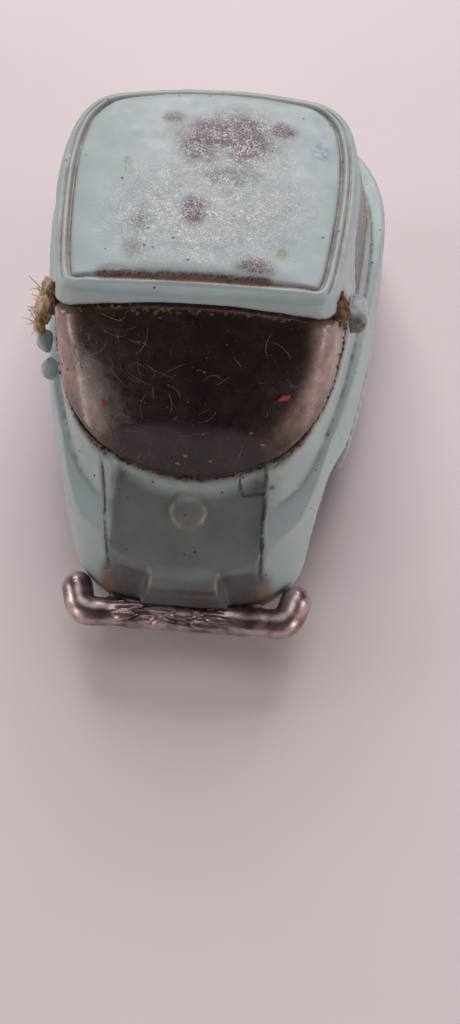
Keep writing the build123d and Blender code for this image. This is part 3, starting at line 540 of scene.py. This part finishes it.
def body_skin():
    """The body shell as a soft moulding, with its grooves, lips and wear."""
    mesh = remeshed("body_shell", BODY_VOXEL, 4)
    points = points_of(mesh)
    on_bonnet = step(-points[:, 1], 12.2, 12.8) * step(points[:, 2], 7.0, 8.0) * step(-points[:, 1], -30, -29)
    panel_edges = step(-np.abs(np.abs(points[:, 0]) - BONNET_PANEL_HALF), -0.8, -0.4) * on_bonnet
    soften(mesh, points, np.maximum(step(points[:, 2], 22.7, 23.1), 0.6 * panel_edges), 24)
    soften(mesh, points, screen_corners(points), 14)
    move_points(mesh, points)
    roof_curve = rounded(ROOF_PANEL)
    points = refine(mesh, detail_zones(points, vertex_normals(mesh, points), roof_curve))
    normals = vertex_normals(mesh, points)
    x, y, z = points.T
    upward = step(normals[:, 2], 0.2, 0.6)
    outward = step(np.einsum("ij,ij->i", normals, points - CABIN_MIDDLE), 0.0, 2.0)
    depth = np.zeros(len(points))

    # Roof: a groove round the panel, a second one outside it, a raised rail between them.
    panel = np.full(len(points), 9.0)
    roof = z > 22.6
    panel[roof] = outline_distance(points[roof][:, :2], roof_curve)
    on_roof = step(z, 22.9, 23.2) * upward
    behind_header = step(y, -6.0, -5.2)
    groove = hump(panel, 0.15) + 0.8 * hump(panel - 0.62, 0.13) * behind_header
    rail = hump(panel - 0.34, 0.16) * behind_header
    header = hump(y + 6.1, 0.75) * step(-np.abs(x), -9.6, -8.8)
    depth += on_roof * (ROOF_GROOVE_DEPTH * groove - ROOF_RAIL_HEIGHT * rail - HEADER_HEIGHT * header)
    grain = on_roof * step(-panel, 0.1, 1.0)

    # Bonnet: a fine groove along each side of the raised panel.
    bonnet = step(-y, 11.5, 12.5) * step(-z, -13.5, -12.5) * step(z, 7.0, 8.0) * outward
    bonnet_groove = np.zeros(len(points))
    for groove_x, spread in BONNET_GROOVES:
        line = groove_x + math.copysign(spread, groove_x) * (y + 18.4)
        bonnet_groove = np.maximum(bonnet_groove, bonnet * hump(x - line, 0.13))
    depth += BONNET_GROOVE_DEPTH * bonnet_groove

    # Lip round the windscreen: a rounded bead that has chipped along its front.
    edge = screen_edge_distance(points)
    by_screen = step(-y, 0.5, 2.0) * outward * step(-z, -23.0, -22.4)
    bead = by_screen * hump(edge + 0.45, 0.4)
    ragged = lumpy(points, 0.9, 1)
    chipped = by_screen * hump(edge + 0.1, 0.35) * step(ragged, 0.05, 0.3) * step(-z, -16.5, -13.5)
    depth += CHIP_DEPTH * chipped - SCREEN_BEAD_HEIGHT * bead
    crack_line = hump(x - 3.9 + 0.25 * np.sin(2.2 * y), 0.10) * step(-y, 12.6, 12.9) * step(y, -14.6, -14.2)
    crack_base = hump(y + 14.35 - 0.12 * (x - 5.0), 0.10) * step(x, 3.7, 4.0) * step(-x, -6.4, -6.0)
    crack = bonnet * np.maximum(crack_line, crack_base)
    depth += CRACK_DEPTH * crack

    # Side vents: slanted slots, pressed a little deeper.
    vents = np.zeros(len(points))
    flank = step(np.abs(normals[:, 0]), 0.6, 0.8) * outward
    for middle in np.linspace(*VENT_REACH, VENT_COUNT):
        across = (y - middle) * math.cos(VENT_TILT) + (z - VENT_HEIGHT) * math.sin(VENT_TILT)
        along = (z - VENT_HEIGHT) * math.cos(VENT_TILT) - (y - middle) * math.sin(VENT_TILT)
        vents = np.maximum(vents, flank * hump(across, 0.22) * step(-np.abs(along), -1.3, -1.0))
    depth += VENT_DEPTH * vents

    # The whole moulding has sunk a little here and there.
    depth += SINK_DEPTH * lumpy(points, 2.5, 2) * outward
    moved = points - normals * depth[:, None]
    move_points(mesh, moved)

    normals = vertex_normals(mesh, moved)
    cavity = cavity_of(mesh, moved, normals, 8)
    hollow = step(cavity, 0.025, 0.10)
    patchy = step(lumpy(points, 2.4, 6), -0.25, 0.25)
    nose = step(-y, 18.8, 19.6) * step(-z, -9.0, -8.2) * step(-np.abs(x), -7.0, -5.6)
    side_groove = step(np.abs(x), 7.0, 8.6)
    # Brown dirt in hollows, cracks, grooves, vents and the gap round the windscreen; on the nose front the
    # darkening is painted shade.
    paint(mesh, "grime_and_shade", np.maximum.reduce([
        0.8 * hollow * outward * (1 - on_roof), 0.9 * crack, 0.95 * bonnet_groove,
        by_screen * hump(edge + 0.02, 0.22), on_roof * groove * (0.1 + 0.4 * patchy * side_groove),
        0.3 * nose * patchy, 0.9 * vents,
        0.95 * spot(x, y, (-6.8, -7.0), (0.35, 0.4)) * on_roof]))
    # Painted shade: the bonnet's centre panel and the nose front are darkened to near black, standing in for
    # the shade they lie in.
    centre_panel = step(-y, 11.5, 12.5) * step(z, 5.0, 6.0) * step(-np.abs(x), -6.1, -5.5)
    panel_shade = 0.74 * centre_panel * step(-z, -13.5, -12.5) * step(-edge, 0.6, 1.6)
    paint(mesh, "painted_light", np.maximum(panel_shade, 0.97 * nose))
    paint(mesh, "edge", np.maximum(step(-cavity, 0.04, 0.14) * outward * (1 - 0.8 * on_roof),
                                   by_screen * hump(edge + 0.4, 0.4) * step(-z, -22, -18)))
    stain = np.zeros(len(points))
    for middle, size, weight in ROOF_STAINS:
        stain = np.maximum(stain, weight * spot(x, y, middle, size, 0.9))
    front_line = hump(y + 5.3, 0.30) * step(-np.abs(x + 0.8), -6.4, -5.2)
    paint(mesh, "stain", np.maximum(stain * grain, front_line * on_roof))
    frost = np.maximum(spot(x, y, (0.4, 0.6), (8.2, 6.0), 0.7), spot(x, y, (2.0, 6.0), (4.5, 5.0)))
    paint(mesh, "frost", frost * grain)
    paint(mesh, "ink", spot(x, y, (7.9, 7.0), (0.75, 0.95), 0.8) * grain)
    moss = np.maximum(spot(x, y, (-5.7, 4.75), (0.35, 1.1)), spot(x, y, (5.7, -2.9), (0.5, 0.7)))
    paint(mesh, "moss", moss * grain)
    paint(mesh, "glue", np.maximum(on_pillars(points) * outward, 0.8 * on_roof * groove))
    skin = link(mesh, "body_skin", plastic)
    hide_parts("body_shell")
    print("body skin faces", len(mesh.polygons))
    return skin


def screen_glue(points):
    """Where glue has run over the upper corners of the windscreen, mostly on the left of the car."""
    glue = np.zeros(len(points))
    for middle, size in SCREEN_GLUE:
        apart = np.linalg.norm((points - np.array(middle)) / size, axis=1)
        glue = np.maximum(glue, step(-apart, -1.0, -0.7))
    return glue


def on_pillars(points):
    """Where dried glue has yellowed the pillars, the corners of the windscreen and the foot of the nose."""
    x, y, z = points.T
    rear = step(np.abs(x), 9.6, 10.2) * hump(y - 9.8, 2.6) * step(z, 13.5, 15) * step(-z, -23.2, -22.4)
    sill = step(x, 10.6, 11.0) * hump(y - 3.0, 5.0) * hump(z - 21.8, 0.45)
    line = hump(x - 11.6, 0.6) * step(y, -3, 0) * step(-y, -11, -9) * hump(z - 14.6, 0.5) * 0.6
    badge = 0.3 * hump(np.hypot(x, y - BADGE_Y) - BADGE_RADIUS, 0.3) * step(z, 9.0, 9.6)
    nose = hump(np.abs(x) - BONNET_PANEL_HALF, 0.6) * step(-y, 18.5, 19.5) * hump(z - 5.8, 1.1)
    return np.maximum.reduce([rear, 0.8 * sill, screen_glue(points), line, badge, nose])


def glazing_skin():
    """The glazing, with a windscreen that bulges until it is flush with the body."""
    mesh = remeshed("glazing", GLASS_VOXEL, 8)
    points = points_of(mesh)
    normals = vertex_normals(mesh, points)
    soften(mesh, points, screen_corners(points), 14)
    outward = step(np.einsum("ij,ij->i", normals, points - CABIN_MIDDLE), 0.0, 2.0)
    edge = screen_edge_distance(points)
    front = step(-points[:, 1], 0.6, 1.6)
    crown = GLASS_CROWN * (1 - (points[:, 0] / SCREEN_HALF) ** 2) * step(edge, -1.0, 5.0)
    sides = SIDE_BULGE * step(np.abs(normals[:, 0]), 0.75, 0.9) * step(points[:, 1], 0.5, 1.0)
    bulge = front * (GLASS_BULGE * step(edge, 0.0, 0.55) + crown) + sides
    move_points(mesh, points + normals * (bulge * outward)[:, None])
    paint(mesh, "dirt", front * hump(edge, 0.45))
    paint(mesh, "lint", front * step(-points[:, 0], -1.0, 6.0))
    paint(mesh, "glue", front * screen_glue(points))
    # Painted highlight, partly dust haze: a pale pink band along each side of the windscreen opening,
    # brightest 1.7 mm in from its edge.
    from_side = screen_side_distance(points)
    painted_light = 0.45 * step(-from_side, -2.9, -2.0) + 0.55 * hump(from_side - 1.7, 0.8)
    paint(mesh, "painted_light", front * painted_light * step(np.abs(points[:, 0]), 4.5, 9.0))
    skin = link(mesh, "glazing_skin", smoke)
    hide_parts("glazing")
    print("glazing skin faces", len(mesh.polygons))
    return skin


def bumper_skin(node, name, tip_x, wrap):
    """A plated bumper: swollen tips, dents, and plating that has wrinkled along the top."""
    mesh = remeshed(node, BUMPER_VOXEL, 6)
    points = points_of(mesh)
    normals = vertex_normals(mesh, points)
    x, y, z = points.T
    swollen = 0.17 * step(np.abs(x), tip_x - 3.0, tip_x - 1.2) * wrap
    dents = (0.12 * lumpy(points, 2.2, 3) + 0.04 * lumpy(points, 0.7, 4)) * step(-np.abs(x), -9.0, -5.0)
    top = step(normals[:, 2], 0.2, 0.7) * step(-np.abs(x + 1.2), -5.0, -3.0)
    folds = np.abs(lumpy(points * np.array([0.3, 1.5, 1.0]), 0.6, 5))
    ridge = 0.20 * step(folds, 0.0, 0.25) - 0.14
    move_points(mesh, points + normals * (swollen - np.abs(dents) + top * ridge)[:, None])
    piece = link(mesh, name, chrome)
    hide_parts(node)
    print(name, "faces", len(mesh.polygons))
    return piece


body = body_skin()
glass = glazing_skin()
bumper_skin("front_bumper", "front_bumper_plated", 9.5, 1.0)
bumper_skin("rear_bumper", "rear_bumper_plated", 13.7, 0.0)


# ---- Tyres -----------------------------------------------------------------------------------------
TYRE_STEPS = 180
TREAD_BLOCKS = 30
TREAD_DEPTH = 0.16
TREAD_GROOVE = 0.37
# Half of the tyre's section, from the bore outwards: shares of the half width and of the wall's height.
TYRE_PROFILE = [(0.84, 0.0), (0.90, 0.06), (0.90, 0.16), (0.96, 0.19), (0.96, 0.26), (0.91, 0.29),
                (0.93, 0.45), (0.97, 0.60), (0.975, 0.63), (0.94, 0.66), (0.94, 0.69), (0.985, 0.72),
                (1.0, 0.80), (0.985, 0.89), (0.93, 0.955), (0.86, 0.985), (0.80, 1.0), (0.62, 1.0),
                (0.43, 1.0), (0.41, 1.0), (0.33, 1.0), (0.31, 1.0), (0.15, 1.0)]


def tyre_skin(node, body, bore):
    """A moulded tyre: ringed sidewalls, round shoulders and a tread of blocks between two grooves."""
    low, high = (np.array(corner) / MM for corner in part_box(node))
    middle = (low + high) / 2
    half, radius = (high[0] - low[0]) / 2, (high[2] - low[2]) / 2
    wall = radius - bore
    rounding = np.array(TYRE_PROFILE + [(-across, share) for across, share in TYRE_PROFILE[::-1]])
    axial = rounding[:, 0] * half
    reach = bore + rounding[:, 1] * wall
    grooved = (np.abs(np.abs(rounding[:, 0]) - TREAD_GROOVE) < 0.045)
    tread = (rounding[:, 1] > 0.97) & ~grooved
    turns = np.linspace(0, 2 * np.pi, TYRE_STEPS, endpoint=False)
    rings = []
    for index, turn in enumerate(turns):
        phase = (index * TREAD_BLOCKS / TYRE_STEPS) % 1
        cut = TREAD_DEPTH if phase < 0.3 else 0.0
        outer = np.abs(rounding[:, 0]) > TREAD_GROOVE
        drop = TREAD_DEPTH * grooved + cut * (tread & outer) + 0.5 * cut * (tread & ~outer & (phase < 0.2))
        lowered = reach - drop
        rings.append(np.stack([axial, lowered * math.cos(turn), lowered * math.sin(turn)], axis=1))
    corners = np.concatenate(rings) + middle
    size = len(rounding)
    faces = []
    for index in range(TYRE_STEPS):
        following = (index + 1) % TYRE_STEPS
        for point in range(size):
            after = (point + 1) % size
            faces.append([index * size + point, following * size + point,
                          following * size + after, index * size + after])
    mesh = bpy.data.meshes.new(f"{node}_skin")
    mesh.from_pydata((corners * MM).tolist(), [], faces)
    shape = bmesh.new()
    shape.from_mesh(mesh)
    bmesh.ops.recalc_face_normals(shape, faces=shape.faces)
    shape.to_mesh(mesh)
    shape.free()
    mesh.set_sharp_from_angle(angle=math.radians(32))
    tyre = link(mesh, f"{node}_skin", rubber, body=body)
    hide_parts(node)


for side in ("left", "right"):
    tyre_skin(f"front_tyre_{side}", "front_wheels", FRONT_BORE)
    tyre_skin(f"rear_tyre_{side}", "rear_wheels", REAR_BORE)


# ---- Mirrors, glue, dirt and dust ----------------------------------------------------------------
def surface_tree(*pieces):
    """Ray-cast tree of some pieces, in millimetres."""
    places, faces = [], []
    for piece in pieces:
        start = len(places)
        places += (points_of(piece.data)).tolist()
        faces += [[start + corner for corner in polygon.vertices] for polygon in piece.data.polygons]
    return BVHTree.FromPolygons(places, faces)


def blob(middle, radii, seed, rough=0.25, turn=(0, 0, 0), level=4):
    """Vertices and faces of an irregular lump."""
    shape = bmesh.new()
    bmesh.ops.create_icosphere(shape, subdivisions=level, radius=1.0)
    corners = np.array([vertex.co[:] for vertex in shape.verts])
    faces = [[vertex.index for vertex in face.verts] for face in shape.faces]
    shape.free()
    swell = 1 + rough * (1.6 * lumpy(corners, 0.9, seed) + 0.8 * lumpy(corners, 0.35, seed + 1))
    corners = corners * swell[:, None] * np.array(radii)
    corners = corners @ np.array(Euler(turn).to_matrix()).T + np.array(middle)
    return corners, faces


def tube(path, radius, sides=5):
    """Vertices and faces of a thin closed tube along a path, thinner at its ends."""
    path = np.array(path)
    along = np.gradient(path, axis=0)
    along /= np.linalg.norm(along, axis=1)[:, None] + 1e-9
    side = np.cross(along, (0.3, 0.2, 0.93))
    side /= np.linalg.norm(side, axis=1)[:, None] + 1e-9
    other = np.cross(along, side)
    angles = np.linspace(0, 2 * np.pi, sides, endpoint=False)
    taper = radius * np.sqrt(np.sin(np.linspace(0.35, np.pi - 0.35, len(path))))
    rings = [path + taper[:, None] * (np.cos(angle) * side + np.sin(angle) * other) for angle in angles]
    corners = np.stack(rings, axis=1).reshape(-1, 3)
    faces = []
    for ring in range(len(path) - 1):
        for turn in range(sides):
            following = (turn + 1) % sides
            faces.append([ring * sides + turn, ring * sides + following,
                          (ring + 1) * sides + following, (ring + 1) * sides + turn])
    faces.append(list(range(sides))[::-1])
    faces.append([(len(path) - 1) * sides + turn for turn in range(sides)])
    return corners, faces


def joined(name, parts, material):
    """One piece made of several lumps or tubes, given in millimetres."""
    places, faces = [], []
    for corners, part_faces in parts:
        start = len(places)
        places += (np.asarray(corners) * MM).tolist()
        faces += [[start + corner for corner in face] for face in part_faces]
    mesh = bpy.data.meshes.new(name)
    mesh.from_pydata(places, [], faces)
    return link(mesh, name, material)


def dull(name, colour, other, rough=0.8, size=0.4, fuzz=0.0):
    """Dry matter: dust, dirt or glue."""
    look = Look(name)
    look.feed(look.shader.inputs["Base Color"],
              look.mix(look.span(look.noise(size, 5.0, 0.65), 0.36, 0.64), colour, other))
    look.feed(look.shader.inputs["Normal"], look.bump(look.noise(size * 0.5, 5.0, 0.65), 0.06, 0.8))
    look.plain(Roughness=rough, Sheen_Weight=fuzz)
    return look.material


glue_dry = dull("dried_glue", (0.60, 0.46, 0.28), (0.42, 0.29, 0.15), 0.6, 0.5, 0.3)
dirt_brown = dull("packed_dirt", (0.20, 0.125, 0.07), (0.06, 0.034, 0.02), 0.85, 0.3)
lint_pale = dull("lint", (0.26, 0.20, 0.17), (0.12, 0.085, 0.07), 0.8, 0.6, 0.3)
dust_mix = dull("dust", (0.22, 0.16, 0.12), (0.07, 0.045, 0.035), 0.85, 0.9)
flake_red = dull("red_flake", (0.42, 0.05, 0.03), (0.20, 0.03, 0.02), 0.5, 0.2)
flake_yellow = dull("yellow_flake", (0.40, 0.28, 0.06), (0.25, 0.14, 0.05), 0.5, 0.2)

dice = random.Random(7)
surface = surface_tree(body, glass)
glass_surface = surface_tree(glass)


def on_screen(side, rise, tree=glass_surface):
    """Point and normal on the windscreen, from its place across and up the opening."""
    above = SCREEN_FOOT + rise * SCREEN_RISE + np.array([side, 0, 0]) + 4 * SCREEN_NORMAL
    place, normal, *_ = tree.ray_cast(Vector(above), Vector(-SCREEN_NORMAL))
    return (np.array(place), np.array(normal)) if place else (None, None)


def mirror_stub(node, name):
    """A mirror stub with its corners worn round."""
    mesh = remeshed(node, 0.09 * MM, 14)
    points = points_of(mesh)
    normals = vertex_normals(mesh, points)
    pinch = 0.22 * step(points[:, 1], -1.6, 0.2) + 0.10 * lumpy(points, 0.8, 8)
    points = points + normals * (0.10 - pinch)[:, None]
    move_points(mesh, points)
    cavity = cavity_of(mesh, points, normals, 10)
    paint(mesh, "edge", step(-cavity, 0.02, 0.08))
    # The stub is darkened on its front part, ahead of y = -2.8 mm.
    paint(mesh, "grime_and_shade", step(-points[:, 1], 2.0, 2.8) * 0.8)
    stub = link(mesh, name, plastic)
    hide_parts(node)


mirror_stub("mirror_left", "mirror_stub_left")
mirror_stub("mirror_right", "mirror_stub_right")


def glue_lump():
    """Dried glue with frayed threads over the right mirror."""
    parts = [blob((-11.8, -2.9, 16.9), (0.68, 1.35, 1.15), 11, 0.22, (0.1, 0.2, 0.1), 5),
             blob((-11.5, -1.7, 17.7), (0.50, 0.8, 0.7), 13, 0.25),
             blob((-12.0, -4.0, 16.3), (0.45, 0.8, 0.7), 14, 0.25)]
    for _ in range(38):
        start = np.array([-11.85, dice.uniform(-4.4, -1.5), dice.uniform(16.0, 17.9)])
        aim = np.array([dice.uniform(-1.0, 0.1), dice.uniform(-0.9, 0.6), dice.uniform(-0.3, 1.0)])
        aim /= np.linalg.norm(aim)
        bend = np.array([dice.uniform(-1, 1) for _ in range(3)]) * 0.45
        reach = dice.uniform(0.7, 1.15)
        path = [start + aim * reach * share + bend * share ** 2 for share in np.linspace(0.1, 1, 7)]
        parts.append(tube(path, dice.uniform(0.02, 0.04)))
    joined("glue_lump", parts, glue_dry)
    fins = [blob((-11.6, -4.9, 15.6), (0.62, 0.95, 0.55), 15, 0.10, (0.3, 0, 0.15)),
            blob((-11.15, -6.6, 14.4), (0.60, 0.9, 0.45), 16, 0.10, (0.3, 0, 0.1))]
    joined("pillar_fins", fins, plastic)


# Packed dirt: middle, radii and seed of each lump.
PILLAR_DIRT = (((9.45, -5.3, 21.7), (0.75, 0.8, 0.7), 21), ((9.9, -4.6, 20.6), (0.6, 0.9, 1.0), 22),
               ((10.2, -3.8, 19.2), (0.5, 0.9, 1.0), 23), ((-9.7, -5.2, 21.4), (0.40, 0.7, 0.8), 24))


def pillar_dirt():
    """Packed dirt in the upper corners of the windscreen."""
    parts = []
    for middle, radii, seed in PILLAR_DIRT:
        parts.append(blob(middle, radii, seed, 0.4))
    joined("pillar_dirt", parts, dirt_brown)


def edge_dirt():
    """Crumbs of dirt in the gap round the windscreen."""
    parts = []
    for index in range(230):
        turn = dice.uniform(-0.5 * np.pi - 1.75, -0.5 * np.pi + 1.75)
        reach = SCREEN_HALF + dice.gauss(0.03, 0.09)
        side, rise = reach * math.cos(turn), SCREEN_HALF + reach * math.sin(turn)
        place, normal = on_screen(side, rise, surface)
        if place is None:
            continue
        size = dice.uniform(0.05, 0.15)
        radii = (size, size * dice.uniform(0.5, 1.0), size * dice.uniform(0.4, 0.8))
        parts.append(blob(place + 0.02 * normal, radii, 30 + index, 0.6,
                          (dice.uniform(0, 3), dice.uniform(0, 3), dice.uniform(0, 3)), 2))
    for index in range(70):
        side = dice.uniform(-8.6, 8.6)
        place, normal = on_screen(side, SCREEN_TOP - 0.45 - 0.006 * side ** 2 + dice.gauss(0, 0.12), surface)
        if place is None:
            continue
        size = dice.uniform(0.05, 0.16)
        parts.append(blob(place, (size, size, size * 0.6), 300 + index, 0.6, (0, 0, 0), 2))
    joined("edge_dirt", parts, dirt_brown)


def screen_path(side, rise, heading, length, curl):
    """A curving line of points just above the windscreen."""
    path = []
    for _ in range(9):
        place, normal = on_screen(side, rise)
        inside = screen_edge_distance(np.array([SCREEN_FOOT + rise * SCREEN_RISE + (side, 0, 0)]))[0] > 0.3
        if place is None or not inside:
            break
        path.append(place + 0.02 * normal)
        side += length / 8 * math.cos(heading)
        rise += length / 8 * math.sin(heading)
        heading += curl
    return path


def lint():
    """Fibres lying on the windscreen, most of them on its right-hand side."""
    parts = []
    for index in range(75):
        crowded = index < 48
        side = dice.uniform(-8.5, -2.0) if crowded else dice.uniform(-4.0, 8.0)
        path = screen_path(side, dice.uniform(1.5, 12.5), dice.uniform(0, 2 * np.pi), dice.uniform(0.5, 2.2),
                           dice.gauss(0, 0.18))
        if len(path) > 3:
            parts.append(tube(path, dice.uniform(0.010, 0.019)))
    joined("screen_lint", parts, lint_pale)


# Yellow flakes: place across and up the windscreen, size and seed.
YELLOW_FLAKES = ((-0.3, 2.4, 0.16, 33), (4.3, 4.6, 0.12, 34), (5.2, 3.6, 0.13, 35), (1.5, 2.0, 0.10, 36),
                 (-0.9, 1.6, 0.14, 37))


def dust():
    """Specks of dust, and red and yellow flakes, on the windscreen."""
    parts = []
    for index in range(210):
        side, rise = dice.uniform(-9.5, 9.5), dice.uniform(0.5, 12.8)
        place = screen_path(side, rise, 0, 0.01, 0)
        if not place:
            continue
        size = 0.025 + 0.05 * dice.random() ** 3
        radii = (size, size, size * 0.6)
        parts.append(blob(place[0], radii, 500 + index, 0.6, (0, 0, dice.uniform(0, 3)), 1))
    joined("screen_dust", parts, dust_mix)
    red = [blob(on_screen(6.6, 7.2)[0], (0.42, 0.22, 0.12), 31, 0.6, (0.6, 0, 0.7), 3),
           blob(on_screen(-6.1, 6.0)[0], (0.22, 0.22, 0.10), 32, 0.6, (0.6, 0, 0.2), 3)]
    joined("red_flakes", red, flake_red)
    yellow = [blob(on_screen(side, rise)[0], (size, size * 0.7, 0.08), seed, 0.6, (0.6, 0, 0), 3)
              for side, rise, size, seed in YELLOW_FLAKES]
    joined("yellow_flakes", yellow, flake_yellow)


glue_lump()
pillar_dirt()
edge_dirt()
lint()
dust()

# ---- Floor, light and camera -------------------------------------------------------------------
FLOOR_REACH = 1.5
floor_look = Look("floor_card")
floor_patches = floor_look.span(floor_look.noise(30.0), 0.3, 0.7)
floor_colour = floor_look.mix(floor_patches, (0.80, 0.72, 0.735), (0.82, 0.74, 0.755))
floor_look.feed(floor_look.shader.inputs["Base Color"], floor_colour)
floor_look.plain(Roughness=0.75)
floor_mesh = bpy.data.meshes.new("floor")
floor_corners = [(FLOOR_REACH * x, FLOOR_REACH * y, 0) for x, y in ((-1, -1), (1, -1), (1, 1), (-1, 1))]
floor_mesh.from_pydata(floor_corners, [], [(0, 1, 2, 3)])
floor_mesh.materials.append(floor_look.material)
floor = bpy.data.objects.new("floor", floor_mesh)
bpy.context.scene.collection.objects.link(floor)


def area_light(name, place, target, size, power, colour):
    """Soft rectangular light aimed at a point."""
    data = bpy.data.lights.new(name, "AREA")
    data.shape = "RECTANGLE"
    data.size, data.size_y = size
    data.energy = power
    data.color = colour
    light = bpy.data.objects.new(name, data)
    light.location = place
    light.rotation_euler = (Vector(target) - Vector(place)).to_track_quat("-Z", "Y").to_euler()
    bpy.context.scene.collection.objects.link(light)


WARM = (1.0, 0.93, 0.94)
STRIP_PINK = (1.0, 0.87, 0.83)
area_light("key", (-0.015, 0.30, 0.262), (0, -0.005, 0), (0.32, 0.18), 1.20, WARM)
area_light("top", (0.0, 0.05, 0.25), (0, 0.01, 0), (0.16, 0.14), 0.10, WARM)
area_light("side_left", (-0.22, -0.01, 0.08), (0, -0.02, 0), (0.10, 0.08), 0.12, WARM)
area_light("side_right", (0.22, -0.01, 0.08), (0, -0.02, 0), (0.10, 0.08), 0.10, WARM)
area_light("strip_left", (-0.158, -0.156, 0.050), (0, 0, 0.015), (0.030, 0.09), 0.090, STRIP_PINK)
area_light("strip_right", (0.186, -0.124, 0.045), (0, 0, 0.015), (0.040, 0.09), 0.120, STRIP_PINK)

world = bpy.data.worlds.new("room")
world.use_nodes = True
world.node_tree.nodes["Background"].inputs["Color"].default_value = (1.0, 0.90, 0.91, 1.0)
world.node_tree.nodes["Background"].inputs["Strength"].default_value = 0.05
bpy.context.scene.world = world
bpy.context.scene.view_settings.view_transform = "Standard"

ELEVATION, YAW, ROLL = math.radians(63), math.radians(5.2), math.radians(-0.8)
AIM = Vector((2.6, -10.3, 0.0)) * MM
DISTANCE = 85.6 * MM
FOCAL_PIXELS, FRAME_PIXELS, SENSOR = 1000, 1024, 36
level = math.cos(ELEVATION)
back = Vector((math.sin(YAW) * level, -math.cos(YAW) * level, math.sin(ELEVATION)))
right = Vector((math.cos(YAW), math.sin(YAW), 0))
up = back.cross(right)
rolled_right = right * math.cos(ROLL) + up * math.sin(ROLL)
rolled_up = up * math.cos(ROLL) - right * math.sin(ROLL)
camera_data = bpy.data.cameras.new("camera")
camera_data.sensor_width = SENSOR
camera_data.lens = FOCAL_PIXELS / FRAME_PIXELS * SENSOR
camera_data.clip_start = 0.005
camera = bpy.data.objects.new("camera", camera_data)
turned = Matrix((rolled_right, rolled_up, back)).transposed().to_4x4()
camera.matrix_world = Matrix.Translation(AIM + back * DISTANCE) @ turned
bpy.context.scene.collection.objects.link(camera)
bpy.context.scene.camera = camera
